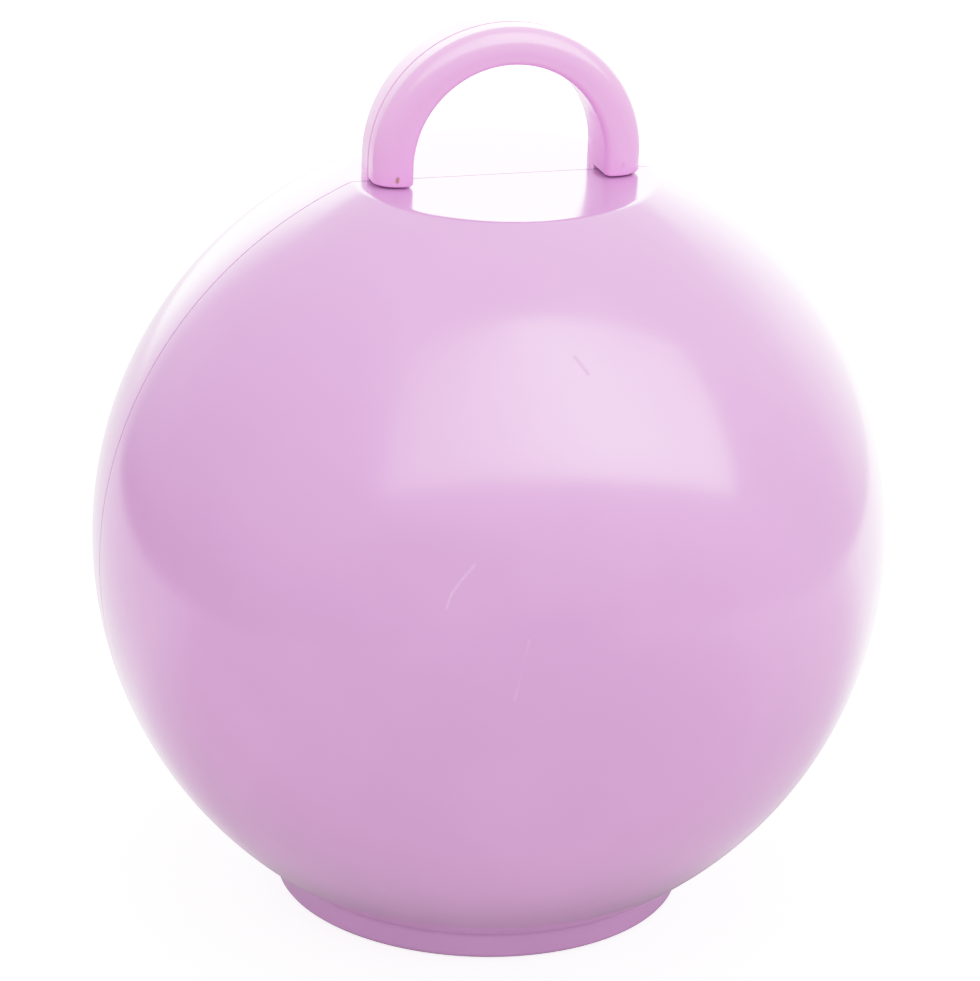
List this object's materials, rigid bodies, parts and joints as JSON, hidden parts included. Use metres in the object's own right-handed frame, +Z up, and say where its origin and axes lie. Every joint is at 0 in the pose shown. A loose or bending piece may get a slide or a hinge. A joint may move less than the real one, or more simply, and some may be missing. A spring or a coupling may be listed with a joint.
{
  "type": "balloon weight",
  "caption": "Lilac moulded plastic ball with a flat top, an arched tie-on handle and a ring foot, made as half-shells round a cast core, to hold down balloons on a ribbon.",
  "frame": {"origin": "centre of the circle that the ring foot stands on", "axes": "+Z up through the ball and the handle, +X along the span of the handle, -Y to the front; the seam and the handle lie in the plane Y = 0"},
  "size_m": [0.05, 0.05, 0.0571],
  "materials": {
    "lilac_plastic": "gloss",
    "cast_cement": "matte"
  },
  "bodies": {
    "root": {"front_shell": "lilac_plastic", "rear_shell": "lilac_plastic", "handle": "lilac_plastic", "ballast": "cast_cement"}
  },
  "joints": []
}
